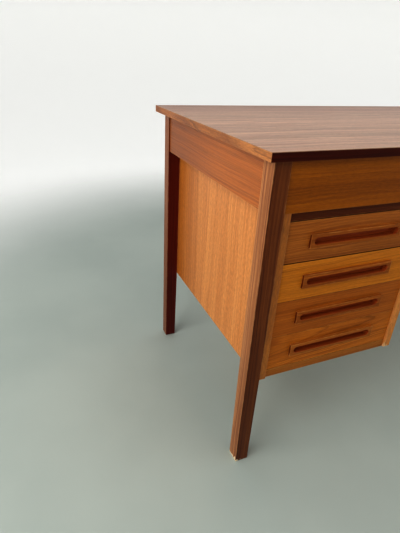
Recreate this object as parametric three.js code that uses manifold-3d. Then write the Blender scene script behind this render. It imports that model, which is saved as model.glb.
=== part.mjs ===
// A teak writing desk: four square legs and an apron frame under a lipped top, with a pedestal of
// four drawers at the left, a pull-out writing slide above them, and an open kneehole at the right.
//
// Millimetres. x runs from the desk's left end, y from the front edge of its top towards the wall,
// and z up from the floor. The whole group is then moved so that the origin is on the floor under
// the middle of the top.
import * as THREE from 'three';
import { mergeVertices } from 'three/addons/utils/BufferGeometryUtils.js';
import Module from 'manifold-3d';

const wasm = await Module();
wasm.setup();

// Desk and top
const DESK = { length: 1250, depth: 605, height: 730 };
const TOP_THICKNESS = 16;
const VENEER = 1;
const LIP = 8;
const OVERHANG = { side: 14, front: 10, back: 41 };

// Legs and aprons
const LEG = { top: 33, foot: 31, footChamfer: 1.5 };
const APRON = { thickness: 20, bottom: 620, recess: 3 };
const CORNER_BLOCK = { reach: 50, height: 54 };

// Pedestal
const PEDESTAL = { bottom: 240, front: 16, innerWidth: 336, panel: 19, board: 19, back: 6 };
const BACK_PANEL_INSET = 2;
const FRONT_PLANE = 20;

// Drawers, numbered from the top. The top one hangs a little high, so the gap under it is the widest.
const GAPS_BELOW = [2.5, 0.75, 0.75, 1.5];
const DRAWER = { front: 18, frontHeight: 84, topGap: 1.5, sideGap: 1, length: 478 };
const BOX = { side: 12, clearance: 1.5, lift: 8, height: 64, backDrop: 4, bottom: 5 };
const GROOVE = { lift: 6, depth: 5, height: 5.5, play: 0.25, endPlay: 0.5 };
const RUNNER = { width: 8, height: 12, lift: 34.25, front: 42, back: 528 };
const RUNNER_GROOVE = { depth: 7, height: 13, lift: 33.5 };
const PULL = { length: 225, height: 29, thickness: 6, offset: -3 };
const SLOT = { length: 207.5, height: 15, pocket: 7 };

// Writing slide
const SLIDE = { lipDepth: 12, lipHeight: 17, board: 14, boardLength: 488, boardLift: 2.5 };
const RAIL = { width: 12, groove: 7, grooveHeight: 14.5, below: 8, above: 9, front: 42, back: 531 };
const SLIDE_PLAY = { side: 1, end: 0.5, vertical: 0.25 };

const ARC_SEGMENTS = 20;

// Places that several parts share
const UNDER_TOP = DESK.height - TOP_THICKNESS;
const LEG_LEFT = OVERHANG.side;
const LEG_RIGHT = DESK.length - OVERHANG.side;
const LEG_FRONT = OVERHANG.front;
const LEG_BACK = DESK.depth - OVERHANG.back;
const PANEL_LEFT = LEG_LEFT + LEG.top;
const INNER_LEFT = PANEL_LEFT + PEDESTAL.panel;
const INNER_RIGHT = INNER_LEFT + PEDESTAL.innerWidth;
const BACK_APRON_FRONT = LEG_BACK - APRON.recess - APRON.thickness;
const FRONT_APRON_BACK = LEG_FRONT + APRON.recess + APRON.thickness;
const BOARD_TOP = PEDESTAL.bottom + PEDESTAL.board;
const SLIDE_BOTTOM = drawerBottom(1) + DRAWER.frontHeight + DRAWER.topGap;
const PULL_MIDDLE = (INNER_LEFT + INNER_RIGHT) / 2 + PULL.offset;

// Materials
const COLOURS = {
  topVeneer: 0xa98672,
  darkTeak: 0x4a2412,
  teak: 0xa9642f,
  redTeak: 0x9a5428,
  drawerTeak: 0x8a4a1c,
  pullTeak: 0x9c5a26,
  sideTeak: 0xc07a3c,
  boxWood: 0xc9a273,
  plywood: 0xb98d5c,
};
const FINISH = {
  topVeneer: 0.38,
  darkTeak: 0.5,
  boxWood: 0.7,
  plywood: 0.75,
};
const DEFAULT_ROUGHNESS = 0.5;

const desk = new THREE.Group();
const placed = new THREE.Group();
placed.position.set(-DESK.length / 2, -DESK.depth / 2, 0);
desk.add(placed);

function addPart(name, wood, geometry) {
  const material = new THREE.MeshStandardMaterial({
    color: COLOURS[wood],
    roughness: FINISH[wood] ?? DEFAULT_ROUGHNESS,
    metalness: 0,
  });
  const mesh = new THREE.Mesh(geometry, material);
  mesh.name = name;
  placed.add(mesh);
}

// Height of a drawer front's lower edge: the fronts below it and their gaps stand on the bottom board.
function drawerBottom(number) {
  return GAPS_BELOW.slice(number).reduce(
    (height, gap) => height + gap + DRAWER.frontHeight,
    BOARD_TOP + GAPS_BELOW[number - 1],
  );
}

// A rectangular block between two opposite corners.
function block([x0, x1], [y0, y1], [z0, z1]) {
  const geometry = new THREE.BoxGeometry(x1 - x0, y1 - y0, z1 - z0);
  geometry.translate((x0 + x1) / 2, (y0 + y1) / 2, (z0 + z1) / 2);
  return geometry;
}

function outline(points) {
  return new THREE.Shape(points.map(([a, b]) => new THREE.Vector2(a, b)));
}

function extrude(shape, depth) {
  return new THREE.ExtrudeGeometry(shape, { depth, bevelEnabled: false, curveSegments: ARC_SEGMENTS });
}

// An outline in y and z, extruded along +x from x0.
function alongX(shape, x0, depth) {
  const turn = new THREE.Matrix4().makeBasis(
    new THREE.Vector3(0, 1, 0),
    new THREE.Vector3(0, 0, 1),
    new THREE.Vector3(1, 0, 0),
  );
  return extrude(shape, depth).applyMatrix4(turn).translate(x0, 0, 0);
}

// An outline in x and z, extruded along +y from y0.
function alongY(shape, y0, depth) {
  const turn = new THREE.Matrix4().makeBasis(
    new THREE.Vector3(1, 0, 0),
    new THREE.Vector3(0, 0, 1),
    new THREE.Vector3(0, -1, 0),
  );
  return extrude(shape, depth).applyMatrix4(turn).translate(0, y0 + depth, 0);
}

// A stack of rectangles, each { z, x: [low, high], y: [low, high] }, joined into one closed solid.
function loft(sections) {
  const positions = sections.flatMap(({ z, x, y }) => [
    x[0], y[0], z,
    x[1], y[0], z,
    x[1], y[1], z,
    x[0], y[1], z,
  ]);
  const index = [0, 3, 2, 0, 2, 1];
  for (let level = 0; level < sections.length - 1; level += 1) {
    for (let side = 0; side < 4; side += 1) {
      const next = (side + 1) % 4;
      const low = 4 * level;
      const high = low + 4;
      index.push(low + side, low + next, high + next, low + side, high + next, high + side);
    }
  }
  const top = 4 * (sections.length - 1);
  index.push(top, top + 1, top + 2, top, top + 2, top + 3);
  const geometry = new THREE.BufferGeometry();
  geometry.setAttribute('position', new THREE.Float32BufferAttribute(positions, 3));
  geometry.setIndex(index);
  geometry.computeVertexNormals();
  return geometry;
}

function toManifold(geometry) {
  const bare = geometry.clone();
  bare.deleteAttribute('normal');
  bare.deleteAttribute('uv');
  const merged = mergeVertices(bare);
  return new wasm.Manifold(new wasm.Mesh({
    numProp: 3,
    vertProperties: new Float32Array(merged.attributes.position.array),
    triVerts: new Uint32Array(merged.index.array),
  }));
}

// The first geometry with each of the others cut out of it.
function cut(geometry, ...tools) {
  const solid = tools.reduce((rest, tool) => rest.subtract(toManifold(tool)), toManifold(geometry));
  const mesh = solid.getMesh();
  const result = new THREE.BufferGeometry();
  result.setAttribute('position', new THREE.Float32BufferAttribute(mesh.vertProperties, 3));
  result.setIndex(Array.from(mesh.triVerts));
  result.computeVertexNormals();
  return result;
}

// A slot outline with round ends, as a path for a hole or a shape for a cutter.
function stadium(Kind, middleX, middleZ) {
  const radius = SLOT.height / 2;
  const reach = SLOT.length / 2 - radius;
  const path = new Kind();
  path.moveTo(middleX - reach, middleZ - radius);
  path.lineTo(middleX + reach, middleZ - radius);
  path.absarc(middleX + reach, middleZ, radius, -Math.PI / 2, Math.PI / 2, false);
  path.lineTo(middleX - reach, middleZ + radius);
  path.absarc(middleX - reach, middleZ, radius, Math.PI / 2, (3 * Math.PI) / 2, false);
  return path;
}

// Distances from the left inner face of the pedestal, or the same distances from its right one.
function fromSide(side, near, far) {
  return side === 'left' ? [INNER_LEFT + near, INNER_LEFT + far] : [INNER_RIGHT - far, INNER_RIGHT - near];
}

// A core board inside four lips that are mitred at the corners, under one sheet of veneer.
function addTop() {
  const coreHeight = TOP_THICKNESS - VENEER;
  const coreTop = UNDER_TOP + coreHeight;
  const corners = (inset) => [
    [inset, inset],
    [DESK.length - inset, inset],
    [DESK.length - inset, DESK.depth - inset],
    [inset, DESK.depth - inset],
  ];
  const outer = corners(0);
  const inner = corners(LIP);
  const slab = (points, depth, bottom) => extrude(outline(points), depth).translate(0, 0, bottom);
  addPart('desktop_veneer', 'topVeneer', slab(outer, VENEER, coreTop));
  addPart('desktop_panel', 'plywood', slab(inner, coreHeight, UNDER_TOP));
  const lips = [['front', 'darkTeak'], ['right', 'sideTeak'], ['back', 'teak'], ['left', 'sideTeak']];
  lips.forEach(([side, wood], start) => {
    const end = (start + 1) % lips.length;
    const mitred = [outer[start], outer[end], inner[end], inner[start]];
    addPart(`desktop_${side}_lip`, wood, slab(mitred, coreHeight, UNDER_TOP));
  });
}

// Interval of a given size that starts at an outer face and runs inwards, along +1 or -1.
function inwards(outer, direction, size, inset = 0) {
  const ends = [outer + direction * inset, outer + direction * (size - inset)];
  return ends.sort((a, b) => a - b);
}

// The outer faces are upright. The inner ones taper below the pedestal.
function addLeg(name, outerX, directionX, outerY, directionY) {
  const section = (z, size, inset = 0) => ({
    z,
    x: inwards(outerX, directionX, size, inset),
    y: inwards(outerY, directionY, size, inset),
  });
  addPart(name, 'darkTeak', loft([
    section(0, LEG.foot, LEG.footChamfer),
    section(LEG.footChamfer, LEG.foot),
    section(PEDESTAL.bottom, LEG.top),
    section(UNDER_TOP, LEG.top),
  ]));
}

function addAprons() {
  const height = [APRON.bottom, UNDER_TOP];
  const betweenX = [LEG_LEFT + LEG.top, LEG_RIGHT - LEG.top];
  const betweenY = [LEG_FRONT + LEG.top, LEG_BACK - LEG.top];
  const leftFace = LEG_LEFT + APRON.recess;
  const rightFace = LEG_RIGHT - APRON.recess;
  addPart('front_apron', 'drawerTeak', block(
    betweenX, [FRONT_APRON_BACK - APRON.thickness, FRONT_APRON_BACK], height));
  addPart('back_apron', 'drawerTeak', block(
    betweenX, [BACK_APRON_FRONT, BACK_APRON_FRONT + APRON.thickness], height));
  addPart('left_apron', 'redTeak', block([leftFace, leftFace + APRON.thickness], betweenY, height));
  addPart('right_apron', 'redTeak', block([rightFace - APRON.thickness, rightFace], betweenY, height));
}

// A glued block that ties two aprons to each other behind a right-hand leg.
function addCornerBlock(name, apronY, legY, direction) {
  const legX = LEG_RIGHT - LEG.top;
  const apronX = LEG_RIGHT - APRON.recess - APRON.thickness;
  const corners = [
    [apronX - CORNER_BLOCK.reach, apronY],
    [legX, apronY],
    [legX, legY],
    [apronX, legY],
    [apronX, legY + direction * (CORNER_BLOCK.reach - LEG.top + APRON.thickness)],
  ];
  const geometry = extrude(outline(corners), CORNER_BLOCK.height);
  addPart(name, 'boxWood', geometry.translate(0, 0, UNDER_TOP - CORNER_BLOCK.height));
}

function addPedestal() {
  const side = outline([
    [PEDESTAL.front, PEDESTAL.bottom],
    [BACK_APRON_FRONT, PEDESTAL.bottom],
    [BACK_APRON_FRONT, UNDER_TOP],
    [FRONT_APRON_BACK, UNDER_TOP],
    [FRONT_APRON_BACK, APRON.bottom],
    [PEDESTAL.front, APRON.bottom],
  ]);
  const inside = [INNER_LEFT, INNER_RIGHT];
  const backPanelRear = BACK_APRON_FRONT - BACK_PANEL_INSET;
  addPart('pedestal_left_panel', 'sideTeak', alongX(side, PANEL_LEFT, PEDESTAL.panel));
  addPart('pedestal_right_panel', 'sideTeak', alongX(side, INNER_RIGHT, PEDESTAL.panel));
  addPart('pedestal_bottom_board', 'teak', block(
    inside, [FRONT_PLANE, BACK_APRON_FRONT], [PEDESTAL.bottom, BOARD_TOP]));
  addPart('pedestal_back_panel', 'plywood', block(
    inside, [backPanelRear - PEDESTAL.back, backPanelRear], [BOARD_TOP, UNDER_TOP]));
}

function addDrawerRunner(number, side, bottom) {
  addPart(`drawer_${number}_${side}_runner`, 'boxWood', block(
    fromSide(side, 0, RUNNER.width),
    [RUNNER.front, RUNNER.back],
    [bottom + RUNNER.lift, bottom + RUNNER.lift + RUNNER.height],
  ));
}

// A drawer side: a board with a runner groove outside and a groove for the bottom inside.
function addDrawerSide(number, side, bottom) {
  const mirror = side === 'left' ? 1 : -1;
  const outer = side === 'left' ? INNER_LEFT + BOX.clearance : INNER_RIGHT - BOX.clearance;
  const low = bottom + BOX.lift;
  const high = low + BOX.height;
  const grooveLow = low + GROOVE.lift;
  const runnerLow = bottom + RUNNER_GROOVE.lift;
  const runnerHigh = runnerLow + RUNNER_GROOVE.height;
  const profile = [
    [0, low],
    [BOX.side, low],
    [BOX.side, grooveLow],
    [BOX.side - GROOVE.depth, grooveLow],
    [BOX.side - GROOVE.depth, grooveLow + GROOVE.height],
    [BOX.side, grooveLow + GROOVE.height],
    [BOX.side, high],
    [0, high],
    [0, runnerHigh],
    [RUNNER_GROOVE.depth, runnerHigh],
    [RUNNER_GROOVE.depth, runnerLow],
    [0, runnerLow],
  ].map(([inward, z]) => [outer + mirror * inward, z]);
  const sideFront = FRONT_PLANE + DRAWER.front;
  const sideLength = DRAWER.length - DRAWER.front;
  addPart(`drawer_${number}_${side}_side`, 'boxWood', alongY(outline(profile), sideFront, sideLength));
}

function addDrawer(number) {
  const bottom = drawerBottom(number);
  const middle = bottom + DRAWER.frontHeight / 2;
  const boxFront = FRONT_PLANE + DRAWER.front;
  const boxBack = FRONT_PLANE + DRAWER.length;
  const insideX = [
    INNER_LEFT + BOX.clearance + BOX.side,
    INNER_RIGHT - BOX.clearance - BOX.side,
  ];
  const grooveLow = bottom + BOX.lift + GROOVE.lift;
  const grooveHigh = grooveLow + GROOVE.height;
  const grooveX = [insideX[0] - GROOVE.depth, insideX[1] + GROOVE.depth];

  const board = block(
    [INNER_LEFT + DRAWER.sideGap, INNER_RIGHT - DRAWER.sideGap],
    [FRONT_PLANE, boxFront],
    [bottom, bottom + DRAWER.frontHeight],
  );
  const pocket = alongY(
    stadium(THREE.Shape, PULL_MIDDLE, middle), FRONT_PLANE - SLOT.pocket, 2 * SLOT.pocket);
  const groove = block(
    grooveX, [boxFront - GROOVE.depth, boxFront + GROOVE.depth], [grooveLow, grooveHigh]);
  addPart(`drawer_${number}_front`, 'drawerTeak', cut(board, pocket, groove));

  const grip = outline([
    [PULL_MIDDLE - PULL.length / 2, middle - PULL.height / 2],
    [PULL_MIDDLE + PULL.length / 2, middle - PULL.height / 2],
    [PULL_MIDDLE + PULL.length / 2, middle + PULL.height / 2],
    [PULL_MIDDLE - PULL.length / 2, middle + PULL.height / 2],
  ]);
  grip.holes.push(stadium(THREE.Path, PULL_MIDDLE, middle));
  addPart(`drawer_${number}_pull`, 'pullTeak', alongY(
    grip, FRONT_PLANE - PULL.thickness, PULL.thickness));

  addPart(`drawer_${number}_back`, 'boxWood', block(
    insideX, [boxBack - BOX.side, boxBack], [grooveHigh, bottom + BOX.lift + BOX.height - BOX.backDrop]));
  addPart(`drawer_${number}_bottom`, 'plywood', block(
    [grooveX[0] + GROOVE.endPlay, grooveX[1] - GROOVE.endPlay],
    [boxFront - GROOVE.depth + GROOVE.endPlay, boxBack],
    [grooveLow + GROOVE.play, grooveLow + GROOVE.play + BOX.bottom],
  ));
  for (const side of ['left', 'right']) {
    addDrawerSide(number, side, bottom);
    addDrawerRunner(number, side, bottom);
  }
}

// A rail with a groove that carries one edge of the slide and keeps it from tipping.
function addSlideRail(side, grooveLow) {
  const mirror = side === 'left' ? 1 : -1;
  const face = side === 'left' ? INNER_LEFT : INNER_RIGHT;
  const grooveHigh = grooveLow + RAIL.grooveHeight;
  const profile = [
    [0, grooveLow - RAIL.below],
    [RAIL.width, grooveLow - RAIL.below],
    [RAIL.width, grooveLow],
    [RAIL.width - RAIL.groove, grooveLow],
    [RAIL.width - RAIL.groove, grooveHigh],
    [RAIL.width, grooveHigh],
    [RAIL.width, grooveHigh + RAIL.above],
    [0, grooveHigh + RAIL.above],
  ].map(([inward, z]) => [face + mirror * inward, z]);
  addPart(`slide_${side}_rail`, 'boxWood', alongY(outline(profile), RAIL.front, RAIL.back - RAIL.front));
}

function addWritingSlide() {
  const boardLow = SLIDE_BOTTOM + SLIDE.boardLift;
  const boardFront = FRONT_PLANE + SLIDE.lipDepth;
  const edge = RAIL.width - RAIL.groove + SLIDE_PLAY.end;
  addPart('slide_lip', 'darkTeak', block(
    [INNER_LEFT + SLIDE_PLAY.side, INNER_RIGHT - SLIDE_PLAY.side],
    [FRONT_PLANE, boardFront],
    [SLIDE_BOTTOM, SLIDE_BOTTOM + SLIDE.lipHeight],
  ));
  addPart('slide_board', 'topVeneer', block(
    [INNER_LEFT + edge, INNER_RIGHT - edge],
    [boardFront, boardFront + SLIDE.boardLength],
    [boardLow, boardLow + SLIDE.board],
  ));
  for (const side of ['left', 'right']) {
    addSlideRail(side, boardLow - SLIDE_PLAY.vertical);
  }
}

addTop();
addLeg('front_left_leg', LEG_LEFT, 1, LEG_FRONT, 1);
addLeg('front_right_leg', LEG_RIGHT, -1, LEG_FRONT, 1);
addLeg('back_left_leg', LEG_LEFT, 1, LEG_BACK, -1);
addLeg('back_right_leg', LEG_RIGHT, -1, LEG_BACK, -1);
addAprons();
addCornerBlock('front_corner_block', FRONT_APRON_BACK, LEG_FRONT + LEG.top, 1);
addCornerBlock('back_corner_block', BACK_APRON_FRONT, LEG_BACK - LEG.top, -1);
addPedestal();
for (let number = 1; number <= GAPS_BELOW.length; number += 1) {
  addDrawer(number);
}
addWritingSlide();

export default desk;
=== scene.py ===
import math
import random

import bpy
from mathutils import Matrix, Vector


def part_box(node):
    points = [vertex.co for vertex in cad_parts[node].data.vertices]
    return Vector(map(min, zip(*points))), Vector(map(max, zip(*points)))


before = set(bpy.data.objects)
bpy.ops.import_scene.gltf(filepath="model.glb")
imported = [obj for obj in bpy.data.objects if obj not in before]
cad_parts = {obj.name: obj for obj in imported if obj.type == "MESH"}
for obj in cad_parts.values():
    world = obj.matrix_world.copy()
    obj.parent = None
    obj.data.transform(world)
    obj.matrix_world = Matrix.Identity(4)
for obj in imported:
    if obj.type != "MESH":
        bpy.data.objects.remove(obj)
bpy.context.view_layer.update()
DRAWERS = (1, 2, 3, 4)

# ---------------------------------------------------------------- camera

CAMERA_PLACE = (-0.9778, -0.8447, 0.8569)
CAMERA_TURN = math.radians(23.81)       # from +Y towards +X
CAMERA_TILT = math.radians(-27.43)
CAMERA_ROLL = math.radians(3.07)
CAMERA_LENS = 27.56                     # millimetres, over the sensor's width
CAMERA_SENSOR = 36.0
CAMERA_SHIFT = (0.003, 0.001)


def add_camera():
    data = bpy.data.cameras.new("camera")
    data.lens = CAMERA_LENS
    data.sensor_width = CAMERA_SENSOR
    data.shift_x, data.shift_y = CAMERA_SHIFT
    camera = bpy.data.objects.new("camera", data)
    turn = Matrix.Rotation(-CAMERA_TURN, 4, "Z")
    tilt = Matrix.Rotation(math.radians(90) + CAMERA_TILT, 4, "X")
    roll = Matrix.Rotation(CAMERA_ROLL, 4, "Z")
    camera.matrix_world = Matrix.Translation(CAMERA_PLACE) @ turn @ tilt @ roll
    bpy.context.scene.collection.objects.link(camera)
    bpy.context.scene.camera = camera


# ---------------------------------------------------------------- shader graphs


class Graph:
    """Short calls for a node tree. Most of them add a node and return its output."""

    def __init__(self, tree):
        self.tree = tree

    def add(self, kind, **settings):
        node = self.tree.nodes.new(kind)
        for key, value in settings.items():
            setattr(node, key, value)
        return node

    def feed(self, socket, value):
        if isinstance(value, bpy.types.NodeSocket):
            self.tree.links.new(value, socket)
        else:
            socket.default_value = value

    def math(self, operation, *values):
        node = self.add("ShaderNodeMath", operation=operation)
        for socket, value in zip(node.inputs, values):
            self.feed(socket, value)
        return node.outputs[0]

    def vector(self, operation, *values):
        node = self.add("ShaderNodeVectorMath", operation=operation)
        for socket, value in zip(node.inputs, values):
            self.feed(socket, value)
        return node.outputs["Value" if operation == "LENGTH" else "Vector"]

    def split(self, vector):
        node = self.add("ShaderNodeSeparateXYZ")
        self.feed(node.inputs[0], vector)
        return node.outputs

    def join(self, x, y, z):
        node = self.add("ShaderNodeCombineXYZ")
        for socket, value in zip(node.inputs, (x, y, z)):
            self.feed(socket, value)
        return node.outputs[0]

    def noise(self, vector, detail=2.0, roughness=0.5, colour=False):
        node = self.add("ShaderNodeTexNoise", noise_dimensions="3D")
        self.feed(node.inputs["Vector"], vector)
        node.inputs["Scale"].default_value = 1.0
        node.inputs["Detail"].default_value = detail
        node.inputs["Roughness"].default_value = roughness
        return node.outputs["Color" if colour else "Fac"]

    def noise_line(self, position, detail=2.0, roughness=0.5):
        node = self.add("ShaderNodeTexNoise", noise_dimensions="1D")
        self.feed(node.inputs["W"], position)
        node.inputs["Scale"].default_value = 1.0
        node.inputs["Detail"].default_value = detail
        node.inputs["Roughness"].default_value = roughness
        return node.outputs["Fac"]

    def between(self, value, low, high, to_low=0.0, to_high=1.0):
        """A smooth step from to_low at low to to_high at high."""
        node = self.add("ShaderNodeMapRange", interpolation_type="SMOOTHSTEP")
        for socket, entry in zip(node.inputs, (value, low, high, to_low, to_high)):
            self.feed(socket, entry)
        return node.outputs[0]

    def mix(self, factor, first, second, blend="MIX"):
        node = self.add("ShaderNodeMix", data_type="RGBA", blend_type=blend)
        self.feed(node.inputs["Factor"], factor)
        self.feed(node.inputs["A"], rgba(first))
        self.feed(node.inputs["B"], rgba(second))
        return node.outputs["Result"]


def rgba(value):
    """A colour with its alpha. A socket passes unchanged."""
    if isinstance(value, tuple):
        return (*value, 1.0)
    return value


def new_group(name, inputs, outputs):
    """An empty node group with the named float and vector sockets."""
    tree = bpy.data.node_groups.new(name, "ShaderNodeTree")
    for socket_name, kind in inputs:
        tree.interface.new_socket(socket_name, in_out="INPUT", socket_type=kind)
    for socket_name, kind in outputs:
        tree.interface.new_socket(socket_name, in_out="OUTPUT", socket_type=kind)
    return tree


FLOAT = "NodeSocketFloat"
VECTOR = "NodeSocketVector"

# Length along the grain and width across it of each kind of figure, in metres
FIGURE = {
    "drift": (0.40, 0.12),
    "waver": (0.10, 0.007),
    "streak": (0.18, 0.0045),
    "lively": (0.30, 0.035),
    "band": (0.7, 0.028),
    "fibre": (0.07, 0.0012),
    "pore": (0.014, 0.0006),
    "fleck": (0.011, 0.0030),
}

# How far the noise of each tone moves on from one ring to the next
PER_RING = {"line": 0.37, "tone": 0.8, "band": 0.13}

WAVER = 0.9                             # how far a ring strays, in rings
RING_SHARE = 0.55                       # of a tone, and the rest doesn't follow the rings
LINE_START = 0.55                       # the dark line late in a ring, as shares of the ring
LINE_PEAK = 0.97
PORE_EDGE = 0.06                        # how softly a pore starts


def make_grain_group():
    """Teak cut from a log. The vector is in metres: x along the grain, y across the face, z into it."""
    tree = new_group(
        "teak_grain",
        [("Vector", VECTOR), ("Spacing", FLOAT), ("Pith Across", FLOAT), ("Pith Deep", FLOAT),
         ("Taper", FLOAT), ("Wander", FLOAT)],
        [("Tone", FLOAT), ("Band", FLOAT), ("Line", FLOAT), ("Fibre", FLOAT), ("Pore", FLOAT),
         ("Fleck", FLOAT)],
    )
    g = Graph(tree)
    given = g.add("NodeGroupInput").outputs
    along, across, deep = g.split(given["Vector"])

    def figure(kind, detail, roughness=0.5, colour=False):
        """Noise whose blobs have the length and width of one kind of figure."""
        length, width = FIGURE[kind]
        place = g.join(
            g.math("MULTIPLY", along, 1 / length),
            g.math("MULTIPLY", across, 1 / width),
            g.math("MULTIPLY", deep, 1 / width),
        )
        return g.noise(place, detail, roughness, colour)

    # Rings around a pith that drifts as it climbs the trunk, and a trunk that tapers
    drift = g.vector("SUBTRACT", figure("drift", 2.0, 0.55, colour=True), (0.5, 0.5, 0.5))
    drift_x, drift_y, _ = g.split(drift)
    a = g.math("ADD", g.math("SUBTRACT", across, given["Pith Across"]),
               g.math("MULTIPLY", drift_x, given["Wander"]))
    d = g.math("ADD", g.math("SUBTRACT", deep, given["Pith Deep"]),
               g.math("MULTIPLY", drift_y, given["Wander"]))
    radius = g.math("SQRT", g.math("ADD", g.math("MULTIPLY", a, a), g.math("MULTIPLY", d, d)))
    radius = g.math("ADD", radius, g.math("MULTIPLY", along, given["Taper"]))
    phase = g.math("DIVIDE", radius, given["Spacing"])
    phase = g.math("ADD", phase, g.math("MULTIPLY", figure("waver", 2.0), WAVER))
    ring = g.math("FRACT", phase)

    def by_ring(kind, detail, roughness=0.5):
        """Noise that changes from ring to ring and stays the same along one."""
        return g.noise_line(g.math("MULTIPLY", phase, PER_RING[kind]), detail, roughness)

    def shared(ringed, plain):
        """A sum of a tone that follows the rings and one that doesn't."""
        return g.math("ADD", g.math("MULTIPLY", ringed, RING_SHARE),
                      g.math("MULTIPLY", plain, 1 - RING_SHARE))

    # The dark line of a ring, in some rings only: a slow start and a sudden end
    line = g.math("MULTIPLY", g.between(ring, LINE_START, LINE_PEAK),
                  g.between(by_ring("line", 1.0), 0.42, 0.72))
    line = g.math("MULTIPLY", line, g.between(ring, 1.0, LINE_PEAK))

    # Streaks of paler and darker wood, with more contrast in some places than in others
    tone = shared(by_ring("tone", 2.0, 0.6), figure("streak", 3.0, 0.6))
    lively = g.between(figure("lively", 1.0), 0.35, 0.65, 0.45, 1.35)
    tone = g.math("ADD", g.math("MULTIPLY", g.math("SUBTRACT", tone, 0.5), lively), 0.5)

    # Broad bands, fine fibre, pores that crowd early in a ring, and short flecks
    band = shared(by_ring("band", 2.0), figure("band", 2.0))
    fibre = figure("fibre", 3.0, 0.6)
    crowd = g.between(ring, 0.1, 0.55, 0.66, 0.76)
    pore = g.between(g.math("SUBTRACT", figure("pore", 1.0), crowd), 0.0, PORE_EDGE)
    fleck = figure("fleck", 2.0, 0.6)

    out = g.add("NodeGroupOutput").inputs
    results = (("Tone", tone), ("Band", band), ("Line", line), ("Fibre", fibre), ("Pore", pore),
               ("Fleck", fleck))
    for name, value in results:
        g.feed(out[name], value)
    return tree


def make_edge_group():
    """How near a point of a box-shaped piece is to one of its edges, in metres."""
    tree = new_group("edge_distance", [("Middle", VECTOR), ("Half", VECTOR)], [("Distance", FLOAT)])
    g = Graph(tree)
    given = g.add("NodeGroupInput").outputs
    place = g.add("ShaderNodeTexCoord").outputs["Object"]
    off = g.vector("ABSOLUTE", g.vector("SUBTRACT", place, given["Middle"]))
    x, y, z = g.split(g.vector("ABSOLUTE", g.vector("SUBTRACT", given["Half"], off)))
    nearest = g.math("MINIMUM", x, g.math("MINIMUM", y, z))
    farthest = g.math("MAXIMUM", x, g.math("MAXIMUM", y, z))
    total = g.math("ADD", x, g.math("ADD", y, z))
    second = g.math("SUBTRACT", g.math("SUBTRACT", total, nearest), farthest)
    g.feed(g.add("NodeGroupOutput").inputs["Distance"], second)
    return tree


GRAIN_GROUP = make_grain_group()
EDGE_GROUP = make_edge_group()


# ---------------------------------------------------------------- teak

AXES = {"X": 0, "Y": 1, "Z": 2}

# How a board was cut: metres between rings, the pith's place across and behind the face, the trunk's
# taper along the grain, and how far the pith wanders
PLAIN_CUT = {"spacing": 0.0050, "pith": (0.01, -0.06), "taper": 0.035, "wander": 0.022}
QUARTER_CUT = {"spacing": 0.0036, "pith": (0.42, -0.05), "taper": 0.004, "wander": 0.035}
VENEER_CUT = {"spacing": 0.0080, "pith": (0.50, -0.05), "taper": 0.008, "wander": 0.07}
TOP_CUT = {"spacing": 0.0110, "pith": (0.46, -0.08), "taper": 0.010, "wander": 0.075}
LEG_CUT = {"spacing": 0.0030, "pith": (0.22, -0.20), "taper": 0.003, "wander": 0.015}
APRON_CUT = {"spacing": 0.0030, "pith": (0.60, -0.04), "taper": 0.002, "wander": 0.020}
DRAWER_CUT = {"spacing": 0.0036, "pith": (0.30, -0.06), "taper": 0.010, "wander": 0.04}
CATHEDRAL_CUT = {"spacing": 0.0050, "pith": (0.030, -0.050), "taper": 0.060, "wander": 0.03}

# Paler and darker wood of each piece
VENEER_TOP = {"light": (0.575, 0.358, 0.232), "dark": (0.385, 0.198, 0.135)}
SIDE = {"light": (0.66, 0.300, 0.090), "dark": (0.54, 0.217, 0.056)}
RED = {"light": (0.48, 0.157, 0.024), "dark": (0.335, 0.097, 0.0140)}
LIP = {"light": (0.46, 0.195, 0.052), "dark": (0.27, 0.095, 0.022)}
LEG = {"light": (0.52, 0.260, 0.112), "dark": (0.270, 0.109, 0.047)}
# The rear legs' wood is the front legs' wood in painted shade
SHADED_REAR_LEG = {"light": (0.31, 0.130, 0.058), "dark": (0.19, 0.067, 0.030)}
# The top's front lip, nearly black: its own darker teak and painted shade on a face turned from the light
DARK_AND_SHADED_LIP = {"light": (0.085, 0.0095, 0.0020), "dark": (0.036, 0.004, 0.0010)}
# The slide's lip: its own dark wood and painted shade under the apron
DARK_AND_SHADED_SLIDE_LIP = {"light": (0.16, 0.042, 0.0090), "dark": (0.088, 0.021, 0.0048)}
APRON = {"light": (0.35, 0.110, 0.0016), "dark": (0.245, 0.070, 0.0010)}
BOARD = {"light": (0.46, 0.182, 0.028), "dark": (0.35, 0.128, 0.0185)}
BROWN = {"light": (0.46, 0.170, 0.026), "dark": (0.33, 0.106, 0.0140)}
AMBER = {"light": (0.56, 0.195, 0.017), "dark": (0.385, 0.117, 0.0090)}
GOLD = {"light": (0.64, 0.252, 0.019), "dark": (0.49, 0.171, 0.0115)}
RUSSET = {"light": (0.48, 0.158, 0.014), "dark": (0.345, 0.101, 0.0085)}
PULL = {"light": (0.40, 0.128, 0.015), "dark": (0.27, 0.078, 0.0085)}
# The finger slots' wood in painted shade
SHADED_SLOT_WOOD = {"light": (0.39, 0.082, 0.0135), "dark": (0.26, 0.048, 0.0080)}
BOX_WOOD = {"light": (0.60, 0.43, 0.27), "dark": (0.53, 0.37, 0.22)}
PLY = {"light": (0.56, 0.40, 0.24), "dark": (0.50, 0.35, 0.205)}

# How far from its middle a tone gives the palest or the darkest wood, at a contrast of 1, and how far
# broad bands swing the shade, at a band of 1
TONE_REACH = 0.16
BAND_SWING = 0.25

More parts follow.
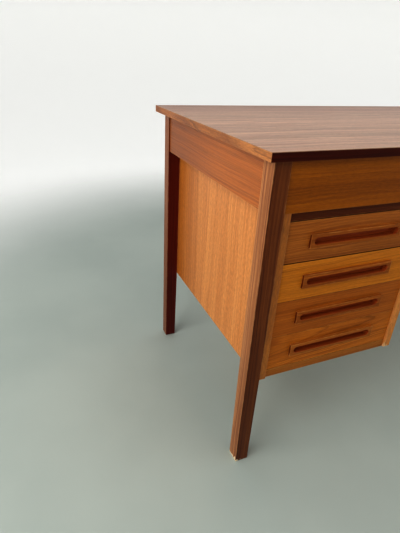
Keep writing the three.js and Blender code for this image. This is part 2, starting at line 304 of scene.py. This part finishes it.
# Broad bands, ring lines and pores as changes to a wood's own colour, rubbed wood that also paints
# highlights on the arrises, and broken corners
BAND_TINT = (1.0, 0.78, 0.58)
RING_SHADE = 0.42
PORE_SHADE = 0.3
BARE_WOOD_AND_HIGHLIGHT = (0.64, 0.37, 0.13)
RUB_AND_HIGHLIGHT_SHARE = 0.4
FOOT_CHIP = (0.80, 0.66, 0.46)
PANEL_CHIP = (0.76, 0.46, 0.22)

# How squarely a face has to look along an axis, from not at all to fully: for the painted light and
# shade of faces turned one way, and for end grain
FACING = (0.5, 0.9)
ENDWAYS = (0.6, 0.9)

# Worn places, in metres: how wide a strip is rubbed along an edge, with a painted highlight on it, and how
# far a chipped corner reaches up, in from the edges, and away from the piece's left face. The patches are
# counted per metre.
RUB_AND_HIGHLIGHT_STRIP = (0.0006, 0.0028)
RUB_AND_HIGHLIGHT_PATCHES = (60, 60, 60)
CHIP_UP = 0.030
CHIP_IN = (0.003, 0.011)
CHIP_SIDEWAYS = (0.004, 0.016)
CHIP_PATCHES = (120, 120, 90)

# What fibre, pores and rubbing add to the roughness, and the relief of fibre under the pores
DULL_FIBRE = (-0.05, 0.06)
DULL_PORES = 0.2
DULL_RUBBING = 0.15
RELIEF_FIBRE = 0.35
RELIEF = {"Strength": 0.35, "Distance": 0.00025}

# A finger slot in a pull: half its height, half the length of its straight part, and how far its floor
# lies behind the drawer front's face. Its walls and floor are painted in shade, which starts just outside
# its edge.
SLOT = {"radius": 0.0075, "reach": 0.09625, "pocket": 0.007}
SLOT_EDGE = (0.0005, 0.0001)
SLOT_FLOOR = (0.001, 0.0005)

rng = random.Random(11)


def middle_of(box):
    return (box[0] + box[1]) / 2


def darker(colour, share):
    return tuple(channel * share for channel in colour)


def tinted(g, factor, colour, tint):
    """The colour, multiplied by the tint as far as the factor says."""
    return g.mix(factor, colour, g.mix(1.0, colour, tint, "MULTIPLY"))


def grain_of(g, place, box, look):
    """The grain's tones at each point of a piece, in a board of its own."""
    along, face = look["along"], look["face"]
    across = next(axis for axis in "XYZ" if axis not in (along, face))
    cut = look["cut"]
    start = rng.uniform(-3.0, 3.0)
    moved = g.join(
        g.math("ADD", place[along], start),
        g.math("SUBTRACT", place[across], middle_of(box)[AXES[across]]),
        g.math("SUBTRACT", place[face], box[0][AXES[face]]),
    )
    grain = g.add("ShaderNodeGroup", node_tree=GRAIN_GROUP)
    g.feed(grain.inputs["Vector"], moved)
    g.feed(grain.inputs["Spacing"], cut["spacing"])
    g.feed(grain.inputs["Pith Across"], cut["pith"][0] + rng.uniform(-0.01, 0.01))
    g.feed(grain.inputs["Pith Deep"], cut["pith"][1] + rng.uniform(-0.01, 0.01))
    g.feed(grain.inputs["Taper"], cut["taper"])
    g.feed(grain.inputs["Wander"], cut["wander"])
    return grain.outputs


def grain_colour(g, tones, amount, look):
    """Fine streaks of paler and darker wood, broad bands that turn redder, dark ring lines and pores."""
    dark = look["dark"]
    colour = g.mix(amount, look["light"], dark)
    redder = g.mix(1.0, colour, BAND_TINT, "MULTIPLY")
    wide = g.between(tones["Band"], 0.36, 0.64)
    colour = g.mix(g.math("MULTIPLY", wide, look["red"]), colour, redder)
    colour = g.mix(g.math("MULTIPLY", tones["Line"], look["line"]), colour, darker(dark, RING_SHADE))
    return g.mix(g.math("MULTIPLY", tones["Pore"], look["pores"]), colour, darker(dark, PORE_SHADE))


def grain_shade(g, tones, normal, look):
    """Light and shade of the grain. End grain drinks more oil than long grain, so it is darker."""
    swing = BAND_SWING * look["band"]
    fleck = look["fleck"]
    shade = g.between(tones["Band"], 0.34, 0.66, 1.0 + swing, 1.0 - swing)
    shade = g.math("MULTIPLY", shade, g.between(tones["Fibre"], 0.25, 0.75, 0.90, 1.10))
    shade = g.math("MULTIPLY", shade, g.between(tones["Fleck"], 0.3, 0.7, 1.0 - fleck, 1.0 + fleck))
    endways = g.between(g.math("ABSOLUTE", normal[look["along"]]), *ENDWAYS, 1.0, look["end"])
    shade = g.math("MULTIPLY", shade, endways)
    return g.join(shade, shade, shade)


def edge_distance(g, box):
    """Metres from the nearest edge of the piece's box."""
    edge = g.add("ShaderNodeGroup", node_tree=EDGE_GROUP)
    g.feed(edge.inputs["Middle"], tuple(middle_of(box)))
    g.feed(edge.inputs["Half"], tuple((box[1] - box[0]) / 2))
    return edge.outputs["Distance"]


def edge_wear_and_highlight(g, point, distance, rub_and_highlight):
    """How far the edges are rubbed and lit with a painted highlight, over a strip of uneven width."""
    patchy = g.noise(g.vector("MULTIPLY", point, RUB_AND_HIGHLIGHT_PATCHES), 2.0)
    strip = g.between(patchy, 0.4, 0.75, *RUB_AND_HIGHLIGHT_STRIP)
    return g.between(distance, strip, 0.0, 0.0, rub_and_highlight)


def rubbed_and_highlit_colour(light):
    """A piece's paler wood, part of the way to bare wood: the colour of rubbed edges and of the painted
    highlights on them.
    """
    return tuple((1 - RUB_AND_HIGHLIGHT_SHARE) * channel + RUB_AND_HIGHLIGHT_SHARE * bare
                 for channel, bare in zip(light, BARE_WOOD_AND_HIGHLIGHT))


def chip_mask(g, point, place, distance, low):
    """1 where a low outer corner has been dragged or knocked, with a ragged outline."""
    ragged = g.noise(g.vector("MULTIPLY", point, CHIP_PATCHES), 2.0)
    up = g.between(place["Z"], low.z, low.z + CHIP_UP, 0.0, 0.60)
    inward = g.between(distance, *CHIP_IN, 0.0, 0.30)
    sideways = g.between(place["X"], *(low.x + step for step in CHIP_SIDEWAYS), 0.0, 0.22)
    left = g.math("SUBTRACT", ragged, g.math("ADD", g.math("ADD", up, inward), sideways))
    return g.between(left, 0.32, 0.40)


def slot_shade_mask(g, place, slot):
    """1 on the walls and floor of a finger slot, where shade is painted, 0 outside it."""
    x = g.math("ABSOLUTE", g.math("SUBTRACT", place["X"], slot["middle"].x))
    z = g.math("SUBTRACT", place["Z"], slot["middle"].z)
    past = g.math("MAXIMUM", g.math("SUBTRACT", x, SLOT["reach"]), 0.0)
    distance = g.math("SQRT", g.math("ADD", g.math("MULTIPLY", past, past), g.math("MULTIPLY", z, z)))
    inside = g.between(distance, *(SLOT["radius"] + edge for edge in SLOT_EDGE))
    deep = g.between(place["Y"], *(slot["floor"] + edge for edge in SLOT_FLOOR))
    return g.math("MULTIPLY", inside, deep)


def add_surface(g, shader, tones, wear_and_highlight, look):
    """Roughness, gloss and relief."""
    dull = g.math("ADD", g.between(tones["Fibre"], 0.2, 0.8, *DULL_FIBRE),
                  g.math("MULTIPLY", tones["Pore"], DULL_PORES))
    dull = g.math("ADD", dull, g.math("MULTIPLY", wear_and_highlight, DULL_RUBBING))
    g.feed(shader.inputs["Roughness"], g.math("ADD", dull, look["rough"]))
    g.feed(shader.inputs["Specular IOR Level"], look["gloss"])
    bump = g.add("ShaderNodeBump")
    for socket, value in RELIEF.items():
        g.feed(bump.inputs[socket], value)
    height = g.math("SUBTRACT", g.math("MULTIPLY", tones["Fibre"], RELIEF_FIBRE), tones["Pore"])
    g.feed(bump.inputs["Height"], height)
    g.feed(shader.inputs["Normal"], bump.outputs[0])


# What a look says. "along" and "face" are the axes of the grain and of the piece's broad face, and the
# rest are amounts: dark ring lines, contrast of the streaks, shade and redness of the broad bands,
# roughness, gloss, rubbed edges that also carry painted highlights, pores, flecks and the shade of end
# grain. "faces" tints the faces that look along an axis: painted light and shade on faces turned one way.
# The ramp darkens the wood from one place to another along Y or along its own "axis": painted shade
# towards the back of the desk, and darker towards the foot of a leg. "slot" is a finger slot, painted in
# shade, and "chips" is the colour of broken corners.
PLAIN_LOOK = dict(
    cut=QUARTER_CUT, line=0.5, contrast=0.8, band=0.5, red=0.5, rough=0.42, gloss=0.5, rub_and_highlight=0.35,
    pores=0.35, fleck=0.05, end=0.55, faces={}, slot=None, darker_ramp=None, chips=None)


def wood(name, box, given):
    """A teak material for the piece that fills the box."""
    look = {**PLAIN_LOOK, **given}
    material = bpy.data.materials.new(name)
    material.use_nodes = True
    g = Graph(material.node_tree)
    shader = material.node_tree.nodes["Principled BSDF"]
    coordinates = g.add("ShaderNodeTexCoord")
    point = coordinates.outputs["Object"]
    place = g.split(point)
    normal = g.split(coordinates.outputs["Normal"])
    tones = grain_of(g, place, box, look)

    reach = TONE_REACH / look["contrast"]
    amount = g.between(tones["Tone"], 0.5 - reach, 0.5 + reach)
    colour = grain_colour(g, tones, amount, look)
    colour = g.mix(1.0, colour, grain_shade(g, tones, normal, look), "MULTIPLY")
    # Painted light and shade: faces turned along an axis take a tint for how the light falls on them
    for axis, tint in look["faces"].items():
        painted_face_shade = g.between(g.math("ABSOLUTE", normal[axis]), *FACING)
        colour = tinted(g, painted_face_shade, colour, tint)

    # Painted shade darkens the wood towards the back of the desk, and the legs are darker towards the
    # foot.
    darker_ramp = look["darker_ramp"]
    if darker_ramp:
        shaded = g.between(place[darker_ramp.get("axis", "Y")], *darker_ramp["between"])
        colour = tinted(g, shaded, colour, darker_ramp["tint"])

    distance = edge_distance(g, box)
    # Rubbed edges turn paler, and the same pale strip paints the highlights that light leaves on the
    # arrises
    wear_and_highlight = edge_wear_and_highlight(g, point, distance, look["rub_and_highlight"])
    colour = g.mix(wear_and_highlight, colour, rubbed_and_highlit_colour(look["light"]))
    if look["chips"]:
        colour = g.mix(chip_mask(g, point, place, distance, box[0]), colour, look["chips"])
    # Painted shade: the finger slot's walls and floor turn darker and redder
    if look["slot"]:
        inside = slot_shade_mask(g, place, look["slot"])
        colour = g.mix(inside, colour, g.mix(amount, SHADED_SLOT_WOOD["light"], SHADED_SLOT_WOOD["dark"]))
    g.feed(shader.inputs["Base Color"], colour)
    add_surface(g, shader, tones, wear_and_highlight, look)
    return material


# ---------------------------------------------------------------- the look of each piece

SIDE_PANEL = dict(SIDE, cut=VENEER_CUT, line=0.15, contrast=0.95, band=0.36, red=0.35, fleck=0.13)
SIDE_LIP = dict(LIP, along="Y", face="X", cut=PLAIN_CUT, line=0.6, contrast=1.2)
SIDE_APRON = dict(RED, along="Y", face="X", cut=APRON_CUT)
# The legs are darker towards the foot
LEG_LOOK = dict(
    along="Z", face="X", cut=LEG_CUT, line=0.35, contrast=0.85, gloss=0.2,
    darker_ramp={"axis": "Z", "between": (0.62, 0.12), "tint": (0.87, 0.86, 0.89)})
DRAWER_WOODS = {1: BROWN, 2: GOLD, 3: RUSSET, 4: AMBER}
DRAWER_CUTS = {1: DRAWER_CUT, 2: DRAWER_CUT, 3: DRAWER_CUT, 4: CATHEDRAL_CUT}
PULL_WOODS = {1: PULL, 2: PULL, 3: PULL, 4: BROWN}


def top_looks():
    return {
        # Painted shade darkens the veneer's front and back edges and the back of the top
        "desktop_veneer": dict(
            VENEER_TOP, along="X", face="Z", cut=TOP_CUT, rough=0.36, line=0.2, contrast=1.1, band=0.55,
            red=0.12, fleck=0.10, pores=0.6, faces={"Y": (0.55, 0.45, 0.42)},
            darker_ramp={"between": (0.06, 0.30), "tint": (0.70, 0.58, 0.56)}),
        "desktop_panel": dict(PLY, along="X", face="Z"),
        # Its own darker teak and painted shade
        "desktop_front_lip": dict(DARK_AND_SHADED_LIP, along="X", face="Y", line=0.3, gloss=0.1, rub_and_highlight=0.1),
        "desktop_back_lip": dict(LIP, along="X", face="Y"),
        # Painted shade darkens the left lip towards the back
        "desktop_left_lip": dict(
            SIDE_LIP, fleck=0.15, darker_ramp={"between": (-0.25, -0.02), "tint": (0.86, 0.80, 0.70)}),
        "desktop_right_lip": SIDE_LIP,
    }


def frame_looks():
    return {
        "front_apron": dict(
            APRON, along="X", face="Y", line=0.2, gloss=0.18, contrast=0.6, red=0.25, fleck=0.09),
        "back_apron": dict(APRON, along="X", face="Y", line=0.3),
        # Its rubbed arrises also carry a painted highlight, and painted shade darkens it towards the back
        "left_apron": dict(
            SIDE_APRON, line=0.9, contrast=0.9, red=0.08, band=0.12, rub_and_highlight=0.7,
            darker_ramp={"between": (-0.12, 0.15), "tint": (0.71, 0.66, 0.62)}),
        "right_apron": dict(SIDE_APRON, line=0.6, contrast=0.75, red=0.2, band=0.25),
        "front_corner_block": dict(BOX_WOOD, along="X", face="Z"),
        "back_corner_block": dict(BOX_WOOD, along="X", face="Z"),
    }


def leg_looks():
    looks = {}
    for side, chips in (("left", FOOT_CHIP), ("right", None)):
        # Painted shade darkens the legs' front faces, and the rear legs are a shaded copy of the front
        # legs' wood
        looks[f"front_{side}_leg"] = dict(LEG, **LEG_LOOK, faces={"Y": (0.375, 0.222, 0.094)}, chips=chips)
        looks[f"back_{side}_leg"] = dict(SHADED_REAR_LEG, **LEG_LOOK, faces={"Y": (0.50, 0.10, 0.075)})
    return looks


def pedestal_looks():
    return {
        # Painted light and shade tint the panels' front edges, and painted shade darkens the left panel
        # towards the back. The right panel's and the bottom board's rubbed edges also carry painted
        # highlights.
        "pedestal_left_panel": dict(
            SIDE_PANEL, along="Z", face="X", faces={"Y": (0.70, 0.59, 0.21)},
            darker_ramp={"between": (0.02, 0.19), "tint": (0.72, 0.60, 0.34)}),
        "pedestal_right_panel": dict(
            SIDE_PANEL, along="Z", face="X", faces={"Y": (1.02, 0.95, 0.66)}, rub_and_highlight=0.8, chips=PANEL_CHIP),
        "pedestal_bottom_board": dict(BOARD, along="X", face="Y", gloss=0.18, contrast=1.1, rub_and_highlight=0.8),
        "pedestal_back_panel": dict(PLY, along="Z", face="Y"),
    }


def slide_looks():
    return {
        "slide_board": dict(VENEER_TOP, along="X", face="Z"),
        "slide_lip": dict(DARK_AND_SHADED_SLIDE_LIP, along="X", face="Y", gloss=0.12),
        "slide_left_rail": dict(BOX_WOOD, along="Y", face="X"),
        "slide_right_rail": dict(BOX_WOOD, along="Y", face="X"),
    }


def drawer_looks(number):
    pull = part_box(f"drawer_{number}_pull")
    slot = {"middle": middle_of(pull), "floor": pull[1].y + SLOT["pocket"]}
    lengthways = dict(BOX_WOOD, along="Y", face="X")
    looks = {
        "front": dict(
            # Painted shade: the front's top and bottom edges are dark, as in the gaps between the drawers
            DRAWER_WOODS[number], along="X", face="Y", cut=DRAWER_CUTS[number], gloss=0.18,
            contrast=0.95, red=0.3, slot=slot, faces={"Z": (0.40, 0.30, 0.26)}),
        # Its rubbed arrises also carry a painted highlight; its ends are darker end grain, warmed by a
        # face tint
        "pull": dict(
            PULL_WOODS[number], along="X", face="Y", line=0.3, gloss=0.15, rub_and_highlight=0.9, contrast=0.8,
            red=0.4, end=0.25, slot=slot, faces={"X": (1.85, 1.15, 0.50)}),
        "left_side": lengthways,
        "right_side": lengthways,
        "left_runner": lengthways,
        "right_runner": lengthways,
        "back": dict(BOX_WOOD, along="X", face="Y"),
        "bottom": dict(PLY, along="X", face="Z"),
    }
    return {f"drawer_{number}_{part}": look for part, look in looks.items()}


def all_looks():
    looks = {**top_looks(), **frame_looks(), **leg_looks(), **pedestal_looks(), **slide_looks()}
    for number in DRAWERS:
        looks.update(drawer_looks(number))
    return looks


# How far an arris is softened, by the last word of a piece's name, and on every other piece
ARRIS = {"leg": 0.0015, "pull": 0.0016, "veneer": 0.0003}
OTHER_ARRIS = 0.0007
ARRIS_TURN = math.radians(40)           # an edge that turns less is part of a curve


def dress(name, look):
    """Gives a CAD node its wood and soft arrises."""
    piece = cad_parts[name]
    material = wood(name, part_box(name), look)
    piece.data.materials.clear()
    piece.data.materials.append(material)
    bevel = piece.modifiers.new("arrises", "BEVEL")
    bevel.width = ARRIS.get(name.split("_")[-1], OTHER_ARRIS)
    bevel.segments = 2
    bevel.limit_method = "ANGLE"
    bevel.angle_limit = ARRIS_TURN


# ---------------------------------------------------------------- stage

FLOOR_RADIUS = 2.7
SWEEP_RADIUS = 1.2
SWEEP_STEPS = 12
WALL_TOP = 4.6
TURNS = 96

FLOOR_COLOURS = ((0.437, 0.496, 0.465), (0.477, 0.535, 0.50))
FLOOR_PATCHES = (2.5, 2.5, 2.5)         # per metre
FLOOR_ROUGHNESS = 0.55
WALL_COLOUR = (0.80, 0.80, 0.79)
WALL_GLOW = {"colour": (0.95, 0.96, 0.95, 1.0), "strength": 0.29}
FADE_TO_WALL = (1.2, 2.6)               # metres from the middle of the floor
GLOW_BEHIND = (-1.8, 1.8)               # along Y, from the front of the stage to its back
GLOW_IN_FRONT = 0.1                     # share of the glow that the front of the stage keeps


def stage_profile():
    """Radius and height of each ring: a flat floor, a quarter turn up and a wall."""
    profile = [(0.0, 0.0), (FLOOR_RADIUS, 0.0)]
    for step in range(1, SWEEP_STEPS + 1):
        angle = math.radians(90) * step / SWEEP_STEPS
        radius = FLOOR_RADIUS + SWEEP_RADIUS * math.sin(angle)
        profile.append((radius, SWEEP_RADIUS * (1 - math.cos(angle))))
    profile.append((FLOOR_RADIUS + SWEEP_RADIUS, WALL_TOP))
    return profile


def stage_mesh():
    """The profile turned about the middle of the floor."""
    profile = stage_profile()
    vertices = [(0.0, 0.0, 0.0)]
    faces = []
    for radius, height in profile[1:]:
        for turn in range(TURNS):
            angle = 2 * math.pi * turn / TURNS
            vertices.append((radius * math.cos(angle), radius * math.sin(angle), height))
    for turn in range(TURNS):
        after = (turn + 1) % TURNS
        faces.append((0, 1 + turn, 1 + after))
        for ring in range(len(profile) - 2):
            low = 1 + ring * TURNS
            high = low + TURNS
            faces.append((low + turn, high + turn, high + after, low + after))
    mesh = bpy.data.meshes.new("floor")
    mesh.from_pydata(vertices, [], faces)
    mesh.shade_smooth()
    return mesh


def stage_material():
    """A faintly mottled floor that fades into a paler wall, which glows behind the desk."""
    material = bpy.data.materials.new("floor")
    material.use_nodes = True
    g = Graph(material.node_tree)
    shader = material.node_tree.nodes["Principled BSDF"]
    place = g.add("ShaderNodeTexCoord").outputs["Object"]
    patch = g.noise(g.vector("MULTIPLY", place, FLOOR_PATCHES), 3.0)
    floor_colour = g.mix(g.between(patch, 0.3, 0.7), *FLOOR_COLOURS)
    far = g.between(g.vector("LENGTH", place), *FADE_TO_WALL)
    g.feed(shader.inputs["Base Color"], g.mix(far, floor_colour, WALL_COLOUR))
    shader.inputs["Emission Color"].default_value = WALL_GLOW["colour"]
    behind = g.between(g.split(place)["Y"], *GLOW_BEHIND, GLOW_IN_FRONT)
    glow = g.math("MULTIPLY", g.math("MULTIPLY", far, behind), WALL_GLOW["strength"])
    g.feed(shader.inputs["Emission Strength"], glow)
    shader.inputs["Roughness"].default_value = FLOOR_ROUGHNESS
    return material


def add_stage():
    """A round floor that curves up into a plain wall."""
    mesh = stage_mesh()
    floor = bpy.data.objects.new("floor", mesh)
    bpy.context.scene.collection.objects.link(floor)
    mesh.materials.append(stage_material())


# ---------------------------------------------------------------- light

SKY = {"colour": (0.9, 0.92, 0.95, 1.0), "strength": 0.24}
TONE_CURVE = {"gamma": 0.75, "exposure": 0.25}


def add_light(name, place, target, size, watts, colour):
    data = bpy.data.lights.new(name, "AREA")
    data.shape = "RECTANGLE"
    data.size, data.size_y = size
    data.energy = watts
    data.color = colour
    light = bpy.data.objects.new(name, data)
    light.location = place
    light.rotation_mode = "QUATERNION"
    light.rotation_quaternion = (Vector(target) - Vector(place)).to_track_quat("-Z", "Y")
    light.visible_camera = False
    bpy.context.scene.collection.objects.link(light)


def add_lights():
    """A large window at the left, a soft ceiling, and a weak warm fill for the desk's front."""
    add_light(
        "window", place=(-2.3, -0.7, 1.5), target=(0, 0, 0.4), size=(1.8, 1.8), watts=34.0,
        colour=(1.0, 0.98, 0.95))
    add_light(
        "ceiling", place=(0.5, -0.4, 2.6), target=(0.3, -0.1, 0), size=(3.0, 2.2), watts=17.0,
        colour=(1.0, 0.98, 0.96))
    add_light(
        "fill", place=(0.4, -2.4, 1.4), target=(0, 0, 0.4), size=(2.0, 1.6), watts=4.0,
        colour=(1.0, 0.86, 0.7))


def add_sky():
    world = bpy.data.worlds.new("sky")
    world.use_nodes = True
    background = world.node_tree.nodes["Background"]
    background.inputs["Color"].default_value = SKY["colour"]
    background.inputs["Strength"].default_value = SKY["strength"]
    bpy.context.scene.world = world


def set_tone_curve():
    """A steeper curve than the plain one, so that dark wood stays deep beside the pale floor."""
    view = bpy.context.scene.view_settings
    view.view_transform = "Standard"
    view.gamma = TONE_CURVE["gamma"]
    view.exposure = TONE_CURVE["exposure"]


# ---------------------------------------------------------------- the scene

add_camera()
add_stage()
add_lights()
add_sky()
set_tone_curve()
LOOKS = all_looks()
for name in sorted(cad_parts):
    dress(name, LOOKS[name])
